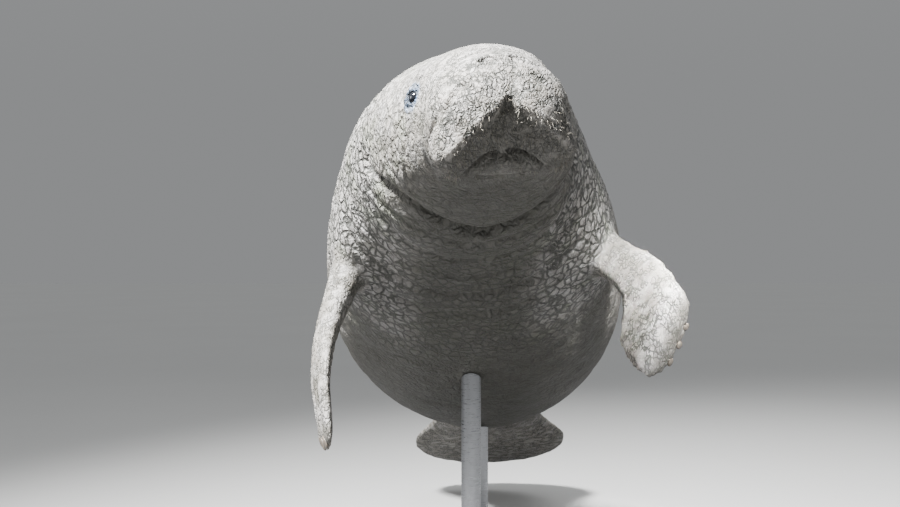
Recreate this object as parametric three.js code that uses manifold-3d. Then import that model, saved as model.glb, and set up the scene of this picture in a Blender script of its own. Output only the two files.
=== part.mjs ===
// A manatee, life size, swimming head-up towards the viewer, as a museum model on a plain stand.
// Millimetres, +Z up. The animal faces -Y and its left side is towards +X.
// The body is made straight first, in (behind, left, up): behind is the distance back from the snout,
// left is towards the animal's left side and up is towards its back. It is then bent into its pose.
import * as THREE from "three";
import { mergeVertices } from "three/addons/utils/BufferGeometryUtils.js";
import Module from "manifold-3d";

const wasm = await Module();
wasm.setup();

// Driving sizes of the animal
const bodyLength = 2800;
const muzzleDome = 74;
const muzzleRingBehind = 78;
const eyeRadius = 11;
const eyeSunk = 7.5;
const lidRadius = 12.5;
const lidThick = 4;
const gap = 0.3;

// Driving sizes of the stand
const baseWide = 800;
const baseLong = 1300;
const baseThick = 30;
const baseCorner = 90;
const rodRadius = 22;
const footRadius = 60;
const footThick = 10;

// Pose of the spine, in degrees: nose up, head turned to its left, left side raised
const headPitch = 2;
const headYaw = 5.5;
const headRoll = 5;
const bodyPitch = 26;
const bodyYaw = -3.7;
const bodyRoll = 3;
const tailPitch = 27;
const headEnds = 400;
const neckEnds = 760;
const rumpStarts = 1500;

// Where the spine stands over the base
const standBehind = 1150;
const standHeight = 820;

// Half-width, height of the back and depth of the belly at named places behind the snout
const stations = [
  { at: "muzzle ring", behind: 78, mid: -6, lean: 25, wide: 106, back: 78, belly: 78, crown: 2.4, square: 2.5 },
  { at: "bridge", behind: 135, mid: -2, lean: 18, wide: 112, back: 98, belly: 112, crown: 2.2, square: 2.4 },
  { at: "eyes", behind: 205, mid: 0, lean: 12, wide: 128, back: 120, belly: 140, crown: 2.1, square: 2.35 },
  { at: "cheeks", behind: 305, mid: 0, lean: 8, wide: 166, back: 140, belly: 170, crown: 2.0, square: 2.3 },
  { at: "neck", behind: 440, mid: 0, lean: 4, wide: 206, back: 168, belly: 206, crown: 2.0, square: 2.2 },
  { at: "shoulders", behind: 640, mid: 0, lean: 0, wide: 260, back: 200, belly: 230, crown: 2.0, square: 2.15 },
  { at: "chest", behind: 860, mid: 0, lean: 0, wide: 320, back: 236, belly: 266, crown: 2.0, square: 2.15 },
  { at: "belly", behind: 1160, mid: 0, lean: 0, wide: 362, back: 262, belly: 306, crown: 2.1, square: 2.15 },
  { at: "loin", behind: 1450, mid: 0, lean: 0, wide: 338, back: 244, belly: 272, crown: 2.1, square: 2.1 },
  { at: "rump", behind: 1720, mid: 0, lean: 0, wide: 268, back: 188, belly: 204, crown: 2.1, square: 2.1 },
  { at: "vent", behind: 1930, mid: 0, lean: 0, wide: 202, back: 132, belly: 142, crown: 2.1, square: 2.1 },
  { at: "stock", behind: 2090, mid: 0, lean: 0, wide: 170, back: 88, belly: 92, crown: 2.05, square: 2.05 },
  { at: "paddle root", behind: 2240, mid: 0, lean: 0, wide: 198, back: 54, belly: 56, crown: 2, square: 2 },
  { at: "paddle", behind: 2400, mid: 0, lean: 0, wide: 268, back: 34, belly: 34, crown: 2, square: 2 },
  { at: "paddle middle", behind: 2510, mid: 0, lean: 0, wide: 284, back: 28, belly: 28, crown: 2, square: 2 },
];
const paddleEndsFrom = 2510;

const degrees = (a) => (a * Math.PI) / 180;
const clamp01 = (x) => Math.min(1, Math.max(0, x));
const smooth = (a, b, x) => {
  const t = clamp01((x - a) / (b - a));
  return t * t * (3 - 2 * t);
};

// A size at any distance along a table of stations, on a smooth curve through them
function sizeAlong(table, key, along, where) {
  const last = table.length - 1;
  let i = 0;
  while (i < last - 1 && along > table[i + 1][where]) i++;
  const at = (k) => table[Math.min(last, Math.max(0, k))];
  const slope = (k) => {
    const a = at(k - 1);
    const b = at(k + 1);
    return a === b ? 0 : (b[key] - a[key]) / (b[where] - a[where]);
  };
  const span = at(i + 1)[where] - at(i)[where];
  const t = clamp01((along - at(i)[where]) / span);
  const h00 = (1 + 2 * t) * (1 - t) ** 2;
  const h10 = t * (1 - t) ** 2;
  const h01 = t * t * (3 - 2 * t);
  const h11 = t * t * (t - 1);
  return h00 * at(i)[key] + h10 * span * slope(i) + h01 * at(i + 1)[key] + h11 * span * slope(i + 1);
}
const sizeAt = (key, behind) => sizeAlong(stations, key, behind, "behind");

// The body's rows, from the dome of the snout to the round end of the tail paddle
const rowPlan = [];
function planRows() {
  const domeRows = 12;
  for (let k = 0; k <= domeRows; k++) rowPlan.push({ dome: Math.sin(((k / domeRows) * Math.PI) / 2) });
  const spans = [
    [330, 17],
    [560, 13],
    [860, 8],
    [1500, 7],
    [2090, 7],
    [paddleEndsFrom, 6],
  ];
  let from = muzzleRingBehind;
  for (const [to, rows] of spans) {
    for (let k = 1; k <= rows; k++) rowPlan.push({ behind: from + ((to - from) * k) / rows });
    from = to;
  }
  const tipRows = 9;
  for (let k = 1; k <= tipRows; k++) rowPlan.push({ tip: Math.cos(((k / tipRows) * Math.PI) / 2) });
}
planRows();

// One point of the bare straight body
function ringPoint(row, angle) {
  let behind = row.behind;
  let share = 1;
  let forward = 0;
  let thin = 1;
  if (row.dome !== undefined) {
    behind = muzzleRingBehind;
    share = row.dome;
    forward = muzzleDome * (1 - share ** 2.6) ** (1 / 2.6);
  }
  if (row.tip !== undefined) {
    const along = Math.sqrt(1 - row.tip ** 2);
    behind = paddleEndsFrom + (bodyLength - paddleEndsFrom) * along;
    share = (1 - along ** 2.2) ** (1 / 2.2);
    if (row.tip < 1e-9) share = 0;
    thin = 1 - 0.72 * along;
  }
  const at = Math.min(behind, paddleEndsFrom);
  const c = Math.cos(angle);
  const s = Math.sin(angle);
  const n = sizeAt(s > 0 ? "crown" : "square", at);
  const lean = degrees(sizeAt("lean", at));
  const left = share * sizeAt("wide", at) * Math.sign(c) * Math.abs(c) ** (2 / n);
  const high = s > 0 ? sizeAt("back", at) : sizeAt("belly", at);
  let rise = share * high * Math.sign(s) * Math.abs(s) ** (2 / n);
  if (row.tip !== undefined) rise = Math.min(1, share * 1.6) * thin * high * Math.sign(s) * Math.abs(s) ** (2 / n);
  if (row.tip !== undefined && share === 0) rise = 0;
  return new THREE.Vector3(
    behind - rise * Math.sin(lean) - forward * Math.cos(lean),
    left,
    sizeAt("mid", at) + rise * Math.cos(lean) - forward * Math.sin(lean),
  );
}

// The spine's frames in the pose, every few millimetres
const frameStep = 5;
const frames = [];
function bendSpine() {
  const blend = (a, b, c, s) =>
    a + (b - a) * smooth(headEnds - 60, neckEnds, s) + (c - b) * smooth(rumpStarts, bodyLength, s);
  const place = new THREE.Vector3();
  for (let s = 0; s <= bodyLength + 50; s += frameStep) {
    const pitch = degrees(blend(headPitch, bodyPitch, tailPitch, s));
    const yaw = degrees(blend(headYaw, bodyYaw, bodyYaw, s));
    const roll = degrees(blend(headRoll, bodyRoll, bodyRoll, s));
    const ahead = new THREE.Vector3(Math.sin(yaw) * Math.cos(pitch), -Math.cos(yaw) * Math.cos(pitch), Math.sin(pitch));
    const flatLeft = new THREE.Vector3(Math.cos(yaw), Math.sin(yaw), 0);
    const flatUp = new THREE.Vector3().crossVectors(ahead, flatLeft);
    const left = flatLeft.clone().multiplyScalar(Math.cos(roll)).addScaledVector(flatUp, Math.sin(roll));
    const up = flatUp.clone().multiplyScalar(Math.cos(roll)).addScaledVector(flatLeft, -Math.sin(roll));
    frames.push({ place: place.clone(), ahead, left, up });
    place.addScaledVector(ahead, -frameStep);
  }
  const held = frames[Math.round(standBehind / frameStep)].place.clone();
  const shift = new THREE.Vector3(0, 0, standHeight).sub(held);
  for (const f of frames) f.place.add(shift);
}
bendSpine();

// From the straight body to the pose
function posed(p) {
  const k = Math.min(frames.length - 2, Math.max(0, Math.floor(p.x / frameStep)));
  const t = p.x / frameStep - k;
  const a = frames[k];
  const b = frames[k + 1];
  const q = a.place.clone().lerp(b.place, t);
  q.addScaledVector(a.left.clone().lerp(b.left, t).normalize(), p.y);
  q.addScaledVector(a.up.clone().lerp(b.up, t).normalize(), p.z);
  return q;
}

// Swellings and creases of the straight body. Sideways places are mirrored, so left is always positive.
const swellings = [
  { name: "lip pad", centre: [30, 60, -34], radii: [58, 50, 54], by: 14 },
  { name: "lip pad droop", centre: [58, 86, -74], radii: [46, 34, 34], by: 24 },
  { name: "chin", centre: [90, 0, -122], radii: [60, 62, 45], by: 15 },
  { name: "nose", centre: [40, 26, 72], radii: [46, 46, 34], by: 9 },
  { name: "crown", centre: [150, 0, 112], radii: [110, 105, 42], by: 8 },
  { name: "brow", centre: [195, 92, 92], radii: [60, 40, 30], by: 6 },
  { name: "cheek", centre: [235, 140, -60], radii: [80, 60, 70], by: 14 },
  { name: "throat roll", centre: [412, 90, -190], radii: [60, 130, 70], by: 9 },
  { name: "shoulder", centre: [735, 262, -125], radii: [95, 60, 75], by: 26 },
];
const creases = [
  { name: "lip cleft", wide: 12, deep: 9, path: [[4, 6, 14], [3, 6, 4], [4, 6, -8]] },
  { name: "mouth", wide: 8, deep: 12, path: [[25, 0, -68], [30, 32, -75], [48, 58, -95], [78, 76, -116]] },
  {
    name: "muzzle crease",
    wide: 11,
    deep: 10,
    path: [[14, 62, 36], [20, 87, 10], [34, 102, -16], [72, 110, -32], [112, 112, -50], [130, 108, -70], [148, 94, -90]],
  },
  {
    name: "throat fold",
    wide: 21,
    deep: 15,
    path: [[430, 190, -20], [390, 182, -62], [345, 163, -86], [312, 125, -118], [322, 72, -155], [345, 0, -176]],
  },
  { name: "front neck fold", wide: 16, deep: 7, path: [[470, 195, -90], [480, 140, -170], [500, 60, -205], [505, 0, -210]] },
];
const mirroredBoth = (centre, radii) => (p) => {
  const q = (side) =>
    ((p.x - centre[0]) / radii[0]) ** 2 + ((p.y - side * centre[1]) / radii[1]) ** 2 + ((p.z - centre[2]) / radii[2]) ** 2;
  return centre[1] === 0 ? Math.exp(-q(1)) : Math.exp(-q(1)) + Math.exp(-q(-1));
};
const swellingFields = swellings.map((s) => ({ ...s, field: mirroredBoth(s.centre, s.radii) }));
const creaseFields = creases.map((c) => {
  const curve = new THREE.CatmullRomCurve3(c.path.map((p) => new THREE.Vector3(...p)));
  return { ...c, points: curve.getPoints(28) };
});
function relief(p) {
  const q = new THREE.Vector3(p.x, Math.abs(p.y), p.z);
  let out = 0;
  for (const s of swellingFields) out += s.by * s.field(p);
  for (const c of creaseFields) {
    let nearest = Infinity;
    for (const k of c.points) nearest = Math.min(nearest, k.distanceToSquared(q));
    out -= c.deep * Math.exp(-nearest / c.wide ** 2);
  }
  return out;
}

// The upper lip overhangs: under a gable-shaped rim the face of the muzzle runs back to the mouth
const overhang = { top: 0, left: 6, slope: 0.8, round: 4, deep: 42, reach: 50, rim: 6, rimWide: 14, fadesFrom: 60, fadesTo: 190 };
function underLip(p) {
  const { top, left, slope, round, deep, reach, rim, rimWide, fadesFrom, fadesTo } = overhang;
  const edge = top - slope * (Math.hypot(p.y - left, round) - round);
  const below = (edge - p.z) / Math.hypot(1, slope);
  const back = below > 0 ? deep * (1 - Math.exp(-below / reach)) : 0;
  return (back - rim * Math.exp(-((below / rimWide) ** 2))) * (1 - smooth(fadesFrom, fadesTo, p.x));
}

// A closed geometry whose rows and columns are set by a function
function moulded(around, rows, place) {
  const g = new THREE.SphereGeometry(1, around, rows);
  const p = g.attributes.position;
  for (let r = 0; r <= rows; r++) {
    for (let c = 0; c <= around; c++) {
      const v = place(r, (2 * Math.PI * (c % around)) / around);
      p.setXYZ(r * (around + 1) + c, v.x, v.y, v.z);
    }
  }
  g.deleteAttribute("normal");
  g.deleteAttribute("uv");
  return mergeVertices(g, 1e-3);
}

const bodyAround = 60;
function bodyGeometry(grow = 0) {
  const g = moulded(bodyAround, rowPlan.length - 1, (r, angle) => ringPoint(rowPlan[r], angle));
  g.computeVertexNormals();
  const p = g.attributes.position;
  const n = g.attributes.normal;
  const v = new THREE.Vector3();
  const d = new THREE.Vector3();
  const flip = signedVolume(g) < 0 ? -1 : 1;
  for (let i = 0; i < p.count; i++) {
    v.fromBufferAttribute(p, i);
    d.fromBufferAttribute(n, i).multiplyScalar(flip);
    v.addScaledVector(d, relief(v) + grow);
    v.x += underLip(v);
    const w = posed(v);
    p.setXYZ(i, w.x, w.y, w.z);
  }
  g.deleteAttribute("normal");
  return g;
}

// A place on the posed skin and the way out of it, from the distance behind the snout and the angle up from the side
function skinAt(behind, side, angle) {
  const turn = side > 0 ? degrees(angle) : Math.PI - degrees(angle);
  const base = ringPoint({ behind }, turn);
  const along = ringPoint({ behind: behind + 1 }, turn).sub(base);
  const across = ringPoint({ behind }, turn + 0.01).sub(base);
  const out = new THREE.Vector3().crossVectors(along, across).normalize();
  if (out.y * base.y + out.z * base.z < 0) out.negate();
  base.addScaledVector(out, relief(base));
  const place = posed(base);
  const normal = posed(base.clone().add(out)).sub(place).normalize();
  return { place, normal };
}

function signedVolume(g) {
  const p = g.attributes.position;
  const [a, b, c] = [new THREE.Vector3(), new THREE.Vector3(), new THREE.Vector3()];
  let sum = 0;
  for (let i = 0; i < g.index.count; i += 3) {
    a.fromBufferAttribute(p, g.index.getX(i));
    b.fromBufferAttribute(p, g.index.getX(i + 1));
    c.fromBufferAttribute(p, g.index.getX(i + 2));
    sum += a.dot(b.cross(c)) / 6;
  }
  return sum;
}

// Any closed geometry as a solid for joining and cutting
function solidOf(geometry) {
  const bare = geometry.clone();
  for (const name of Object.keys(bare.attributes)) if (name !== "position") bare.deleteAttribute(name);
  const g = mergeVertices(bare, 1e-3);
  const index = new Uint32Array(g.index.array);
  if (signedVolume(g) < 0)
    for (let i = 0; i < index.length; i += 3) [index[i + 1], index[i + 2]] = [index[i + 2], index[i + 1]];
  return new wasm.Manifold(
    new wasm.Mesh({ numProp: 3, vertProperties: new Float32Array(g.attributes.position.array), triVerts: index }),
  );
}

// The largest closed body of a cut solid
function largest(solid) {
  const pieces = solid.decompose();
  pieces.sort((a, b) => b.volume() - a.volume());
  return pieces[0];
}

const group = new THREE.Group();
function addNode(solid, name, material) {
  const m = largest(solid).getMesh();
  const g = new THREE.BufferGeometry();
  g.setAttribute("position", new THREE.BufferAttribute(new Float32Array(m.vertProperties), 3));
  g.setIndex(new THREE.BufferAttribute(new Uint32Array(m.triVerts), 1));
  const mesh = new THREE.Mesh(g, material);
  mesh.name = name;
  group.add(mesh);
}

const skin = new THREE.MeshStandardMaterial({ color: 0x8b8a82, roughness: 0.75, metalness: 0 });
const eyeDark = new THREE.MeshStandardMaterial({ color: 0x14161c, roughness: 0.1, metalness: 0 });
const nailHorn = new THREE.MeshStandardMaterial({ color: 0xd2cab6, roughness: 0.45, metalness: 0 });
const standPaint = new THREE.MeshStandardMaterial({ color: 0x26282b, roughness: 0.6, metalness: 0 });
const standSteel = new THREE.MeshStandardMaterial({ color: 0x9a9da1, roughness: 0.35, metalness: 1 });

const body = solidOf(bodyGeometry());
const bodyGrown = solidOf(bodyGeometry(gap));

// A slanted plane across the body, and the length of body between two of them
function planeAt(behind, slant) {
  const f = frames[Math.round(behind / frameStep)];
  const normal = f.ahead.clone().multiplyScalar(Math.cos(degrees(slant)));
  normal.addScaledVector(f.up, Math.sin(degrees(slant)));
  return { normal, offset: normal.dot(f.place) };
}
function lengthBetween(front, rear) {
  let solid = body;
  if (front) solid = solid.trimByPlane(front.normal.clone().negate().toArray(), -(front.offset - gap / 2));
  if (rear) solid = solid.trimByPlane(rear.normal.toArray(), rear.offset + gap / 2);
  return solid;
}
const headPlane = planeAt(375, 8);
const neckPlane = planeAt(575, 0);
const torsoPlane = planeAt(1700, 0);
const tailPlane = planeAt(2190, 0);

// The lower jaw: everything under an arch across the front of the head
const jawArch = { halfWide: 70, top: -68, spring: -118, bottom: -260, power: 2.6, front: -60, back: 290 };
function jawPrism(grow) {
  const { halfWide, top, spring, bottom, power, front, back } = jawArch;
  const shape = new THREE.Shape();
  shape.moveTo(-halfWide - grow, bottom);
  const steps = 18;
  for (let k = 0; k <= steps; k++) {
    const turn = Math.PI - (Math.PI * k) / steps;
    const y = Math.sign(Math.cos(turn)) * Math.abs(Math.cos(turn)) ** (2 / power);
    const z = Math.abs(Math.sin(turn)) ** (2 / power);
    shape.lineTo((halfWide + grow) * y, spring + (top - spring + grow) * z);
  }
  shape.lineTo(halfWide + grow, bottom);
  const g = new THREE.ExtrudeGeometry(shape, { depth: back - front + grow, steps: 1, bevelEnabled: false });
  const p = g.attributes.position;
  for (let i = 0; i < p.count; i++) {
    const w = posed(new THREE.Vector3(front + p.getZ(i), p.getX(i), p.getY(i)));
    p.setXYZ(i, w.x, w.y, w.z);
  }
  return solidOf(g);
}

// Eyes, each in a ring of lid
const eyeBehind = 203;
const eyeAngle = 23;
function eyeParts(side) {
  const { place, normal } = skinAt(eyeBehind, side, eyeAngle);
  const turn = new THREE.Quaternion().setFromUnitVectors(new THREE.Vector3(0, 0, 1), normal);
  const centre = place.clone().addScaledVector(normal, -eyeSunk);
  const ball = (radius) => solidOf(new THREE.SphereGeometry(radius, 16, 10).translate(centre.x, centre.y, centre.z));
  const ring = new THREE.TorusGeometry(lidRadius, lidThick, 7, 18).applyQuaternion(turn);
  return {
    ball: ball(eyeRadius),
    socket: ball(eyeRadius + gap),
    lids: solidOf(ring.translate(place.x, place.y, place.z)),
  };
}
const eyeLeft = eyeParts(1);
const eyeRight = eyeParts(-1);

// Nostrils: two closed crescents on top of the snout
const nostril = { behind: 27, middle: 8, left: 23, up: 66, wide: 10, thick: 2.2, arch: 5, deep: 14, lean: 48, splay: 14 };
function nostrilSlot(side) {
  const shape = new THREE.Shape();
  const { wide, thick, arch } = nostril;
  shape.moveTo(-wide, 0);
  shape.quadraticCurveTo(0, arch * 2 + thick, wide, 0);
  shape.quadraticCurveTo(0, arch * 2 - thick, -wide, 0);
  const g = new THREE.ExtrudeGeometry(shape, { depth: nostril.deep * 2, steps: 1, bevelEnabled: false, curveSegments: 8 });
  g.translate(0, 0, -nostril.deep);
  g.rotateZ(degrees(-side * nostril.splay));
  const p = g.attributes.position;
  const lean = degrees(nostril.lean);
  for (let i = 0; i < p.count; i++) {
    const ahead = p.getZ(i) * Math.cos(lean) - p.getY(i) * Math.sin(lean);
    const up = p.getZ(i) * Math.sin(lean) + p.getY(i) * Math.cos(lean);
    const w = posed(new THREE.Vector3(nostril.behind - ahead, nostril.middle + side * nostril.left + p.getX(i), nostril.up + up));
    p.setXYZ(i, w.x, w.y, w.z);
  }
  return solidOf(g);
}

let head = lengthBetween(null, headPlane);
head = head.add(eyeLeft.lids).add(eyeRight.lids).subtract(eyeLeft.socket).subtract(eyeRight.socket);
head = head.subtract(nostrilSlot(1)).subtract(nostrilSlot(-1)).subtract(jawPrism(gap / 2));
addNode(head, "head", skin);
addNode(lengthBetween(null, headPlane).intersect(jawPrism(-gap / 2)), "lower_jaw", skin);
addNode(lengthBetween(headPlane, neckPlane), "neck", skin);
addNode(lengthBetween(neckPlane, torsoPlane), "torso", skin);
addNode(lengthBetween(torsoPlane, tailPlane), "tail_stock", skin);
addNode(lengthBetween(tailPlane, null), "tail_paddle", skin);
addNode(eyeLeft.ball, "eye_left", eyeDark);
addNode(eyeRight.ball, "eye_right", eyeDark);

// Flippers: half-widths towards the thumb and the little finger, and thickness, along the flat flipper
const flipperStations = [
  { along: -90, thumb: 50, little: 54, thick: 96 },
  { along: 0, thumb: 42, little: 56, thick: 84 },
  { along: 80, thumb: 30, little: 72, thick: 64 },
  { along: 145, thumb: 38, little: 84, thick: 50 },
  { along: 200, thumb: 98, little: 86, thick: 40 },
  { along: 250, thumb: 116, little: 82, thick: 31 },
  { along: 300, thumb: 106, little: 72, thick: 26 },
];
const flipperRowsAt = [-90, -20, 50, 110, 150, 180, 205, 225, 243, 257, 269, 280, 290, 300];
const flipperTipFrom = 300;
const flipperPower = 2.2;
const tipLong = 52;
const tipSlant = 0.28;

function flipperHalf(along) {
  const at = Math.min(along, flipperTipFrom);
  const a = clamp01((along - flipperTipFrom) / tipLong);
  const share = (1 - a ** 2.3) ** (1 / 2.3);
  return {
    thumb: share * sizeAlong(flipperStations, "thumb", at, "along"),
    little: share * sizeAlong(flipperStations, "little", at, "along"),
    thick: Math.min(1, share * 1.5) * (1 - 0.5 * a) * sizeAlong(flipperStations, "thick", at, "along"),
  };
}

// A bend of the flat flipper towards its palm, about a line that may slant across it
function bend(p, { at, slant, angle, radius }) {
  const c = Math.cos(degrees(slant));
  const s = Math.sin(degrees(slant));
  const past = (p.x - at) * c + p.y * s;
  const beside = -(p.x - at) * s + p.y * c;
  if (past <= 0) return p;
  const turn = Math.min(degrees(angle), past / radius);
  const rest = past - turn * radius;
  const out = (radius + p.z) * Math.sin(turn) + rest * Math.cos(turn);
  const up = (radius + p.z) * Math.cos(turn) - radius - rest * Math.sin(turn);
  return new THREE.Vector3(at + out * c - beside * s, out * s + beside * c, up);
}

// The pose of each flipper, in the shoulders' own ahead, left and up
const shoulderBehind = 750;
const flipperPoses = {
  left: {
    root: [-37, 281, -135],
    axis: [0.595, 0.269, -0.757],
    thumb: [-0.564, -0.532, -0.632],
    stretch: 1,
    bends: [{ at: 272, slant: -16, angle: 108, radius: 15 }],
  },
  right: {
    root: [3, -244, -130],
    axis: [0.1, -0.285, -0.95],
    thumb: [0.958, 0.284, 0.042],
    stretch: 1.22,
    bends: [
      { at: 120, slant: 0, angle: 14, radius: 500 },
      { at: 275, slant: -20, angle: 12, radius: 120 },
    ],
  },
};
function flipperPlacer(name) {
  const pose = flipperPoses[name];
  const f = frames[Math.round(shoulderBehind / frameStep)];
  const toWorld = ([ahead, left, up]) =>
    new THREE.Vector3().addScaledVector(f.ahead, ahead).addScaledVector(f.left, left).addScaledVector(f.up, up);
  const root = f.place.clone().add(toWorld(pose.root));
  const axis = toWorld(pose.axis).normalize();
  const thumb = toWorld(pose.thumb);
  thumb.addScaledVector(axis, -thumb.dot(axis)).normalize();
  const back = new THREE.Vector3().crossVectors(axis, thumb).multiplyScalar(name === "left" ? -1 : 1);
  return (p) => {
    let q = new THREE.Vector3(p.x * pose.stretch, p.y, p.z);
    for (const b of pose.bends) q = bend(q, b);
    return root.clone().addScaledVector(axis, q.x).addScaledVector(thumb, q.y).addScaledVector(back, q.z);
  };
}

const flipperAround = 18;
const flipperTipRows = 6;
const slantTip = (along, across) => along + tipSlant * across * smooth(180, 330, along);
function flipperGeometry(place) {
  const flat = flipperRowsAt.length;
  return moulded(flipperAround, flat + flipperTipRows, (r, angle) => {
    let along = flipperRowsAt[Math.min(flat, Math.max(1, r)) - 1];
    const share = r === 0 ? 0 : 1;
    if (r > flat) along = flipperTipFrom + tipLong * Math.sin((((r - flat) / flipperTipRows) * Math.PI) / 2);
    const half = flipperHalf(along);
    const c = Math.cos(angle);
    const s = Math.sin(angle);
    const across = share * (c > 0 ? half.thumb : half.little) * Math.sign(c) * Math.abs(c) ** (2 / flipperPower);
    const high = ((share * half.thick) / 2) * Math.sign(s) * Math.abs(s) ** (2 / flipperPower);
    return place(new THREE.Vector3(slantTip(along, across), across, high));
  });
}

// Nails near the flipper's rim, on its back, each half sunk in the skin
const nailSize = { long: 12, wide: 8, thick: 4 };
const nails = [
  { along: 333, across: 50, fan: 16 },
  { along: 337, across: 14, fan: 4 },
  { along: 333, across: -20, fan: -12 },
];
function nailSolid(place, { along, across, fan }, grow) {
  const half = flipperHalf(along);
  const share = Math.abs(across) / (across > 0 ? half.thumb : half.little);
  const high = (half.thick / 2) * (1 - share ** flipperPower) ** (1 / flipperPower);
  const g = new THREE.SphereGeometry(1, 10, 6);
  g.scale(nailSize.long + grow, nailSize.wide + grow, nailSize.thick + grow);
  g.rotateY(degrees(16));
  g.rotateZ(degrees(fan));
  g.translate(slantTip(along, across), across, high - 0.5);
  const p = g.attributes.position;
  for (let i = 0; i < p.count; i++) {
    const w = place(new THREE.Vector3(p.getX(i), p.getY(i), p.getZ(i)));
    p.setXYZ(i, w.x, w.y, w.z);
  }
  return solidOf(g);
}
for (const name of ["left", "right"]) {
  const place = flipperPlacer(name);
  let flipper = solidOf(flipperGeometry(place)).subtract(bodyGrown);
  for (const nail of nails) flipper = flipper.subtract(nailSolid(place, nail, gap));
  addNode(flipper, "flipper_" + name, skin);
  nails.forEach((nail, k) => addNode(nailSolid(place, nail, 0), "nail_" + name + "_" + (k + 1), nailHorn));
}

// The stand: a flat base with round corners and two rods up to the belly
const plate = new THREE.Shape();
const [px, py] = [baseWide / 2 - baseCorner, baseLong / 2 - baseCorner];
plate.absarc(px, py, baseCorner, 0, Math.PI / 2);
plate.absarc(-px, py, baseCorner, Math.PI / 2, Math.PI);
plate.absarc(-px, -py, baseCorner, Math.PI, Math.PI * 1.5);
plate.absarc(px, -py, baseCorner, Math.PI * 1.5, Math.PI * 2);
const plateShape = { depth: baseThick, steps: 1, bevelEnabled: false, curveSegments: 8 };
addNode(solidOf(new THREE.ExtrudeGeometry(plate, plateShape)), "stand_base", standPaint);

const upright = (x, y, from, radius, height) =>
  new THREE.CylinderGeometry(radius, radius, height, 28).rotateX(Math.PI / 2).translate(x, y, from + height / 2);
function rod(behind, name) {
  const spine = frames[Math.round(behind / frameStep)].place;
  const foot = baseThick + gap;
  const start = foot + footThick + gap;
  addNode(solidOf(upright(spine.x, spine.y, foot, footRadius, footThick)), "stand_foot_" + name, standSteel);
  const solid = solidOf(upright(spine.x, spine.y, start, rodRadius, spine.z - start));
  addNode(solid.subtract(bodyGrown), "stand_rod_" + name, standSteel);
}
rod(900, "front");
rod(1480, "rear");

export default group;
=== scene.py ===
# A manatee, life size, head up on a plain display stand. Metres, +Z up, the animal faces -Y.
import math

import bpy
import numpy as np
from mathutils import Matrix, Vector, noise
from mathutils.bvhtree import BVHTree
from mathutils.kdtree import KDTree


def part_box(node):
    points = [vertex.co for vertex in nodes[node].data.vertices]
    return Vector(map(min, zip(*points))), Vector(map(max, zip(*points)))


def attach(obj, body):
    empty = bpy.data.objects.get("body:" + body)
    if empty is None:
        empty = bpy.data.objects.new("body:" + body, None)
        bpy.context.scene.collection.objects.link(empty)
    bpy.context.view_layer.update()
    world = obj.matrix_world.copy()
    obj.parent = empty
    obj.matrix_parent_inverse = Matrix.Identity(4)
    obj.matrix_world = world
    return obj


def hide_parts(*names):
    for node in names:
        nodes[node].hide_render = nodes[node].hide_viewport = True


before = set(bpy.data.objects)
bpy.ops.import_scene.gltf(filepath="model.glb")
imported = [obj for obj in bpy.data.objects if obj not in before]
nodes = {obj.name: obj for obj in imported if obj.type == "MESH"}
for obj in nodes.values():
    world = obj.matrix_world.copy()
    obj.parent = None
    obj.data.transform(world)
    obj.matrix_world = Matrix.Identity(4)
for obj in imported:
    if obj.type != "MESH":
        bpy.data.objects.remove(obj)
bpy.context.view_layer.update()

print("frame loaded")


def smoothStep(a, b, x):
    t = np.clip((x - a) / (b - a), 0, 1)
    return t * t * (3 - 2 * t)


def deselectAll():
    if bpy.context.object and bpy.context.object.mode != "OBJECT":
        bpy.ops.object.mode_set(mode="OBJECT")
    bpy.ops.object.select_all(action="DESELECT")


def makeActive(piece):
    deselectAll()
    piece.select_set(True)
    bpy.context.view_layer.objects.active = piece


def applyModifier(piece, kind, **values):
    makeActive(piece)
    modifier = piece.modifiers.new(kind.lower(), kind)
    for key, value in values.items():
        setattr(modifier, key, value)
    bpy.ops.object.modifier_apply(modifier=modifier.name)


def mergedCopy(names, pieceName):  # the named CAD solids as one new mesh with its doubles merged
    copies = []
    for name in names:
        made = nodes[name].copy()
        made.data = nodes[name].data.copy()
        bpy.context.scene.collection.objects.link(made)
        made.parent = None
        made.matrix_world = nodes[name].matrix_world.copy()
        made.hide_viewport = False
        made.hide_render = False
        copies.append(made)
    deselectAll()
    for made in copies:
        made.select_set(True)
    bpy.context.view_layer.objects.active = copies[0]
    if len(copies) > 1:
        bpy.ops.object.join()
    piece = bpy.context.object
    piece.name = pieceName
    piece.data.name = pieceName
    piece.data.materials.clear()
    for key in list(piece.keys()):
        del piece[key]
    bpy.ops.object.mode_set(mode="EDIT")
    bpy.ops.mesh.select_all(action="SELECT")
    bpy.ops.mesh.remove_doubles(threshold=0.00002)
    bpy.ops.object.mode_set(mode="OBJECT")
    return piece


def placesOf(piece):
    co = np.zeros(len(piece.data.vertices) * 3)
    piece.data.vertices.foreach_get("co", co)
    return co.reshape(-1, 3)


def setPlaces(piece, co):
    piece.data.vertices.foreach_set("co", co.astype(np.float32).ravel())
    piece.data.update()


def normalsOf(piece):
    n = np.zeros(len(piece.data.vertices) * 3)
    piece.data.vertex_normals.foreach_get("vector", n)
    return n.reshape(-1, 3)


def setAttribute(piece, name, values):
    kind = "FLOAT" if values.ndim == 1 else "FLOAT_VECTOR"
    made = piece.data.attributes.new(name, kind, "POINT")
    made.data.foreach_set("value" if values.ndim == 1 else "vector", values.astype(np.float32).ravel())


# The spine, from straight body to pose
spineValues = {
    "headPitch": 2, "headYaw": 5.5, "headRoll": 5,
    "bodyPitch": 26, "bodyYaw": -3.7, "bodyRoll": 3, "tailPitch": 27,
    "headEnds": 0.400, "neckEnds": 0.760, "rumpStarts": 1.500, "bodyLength": 2.800,
    "standBehind": 1.150, "standHeight": 0.820, "step": 0.005,
}


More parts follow.
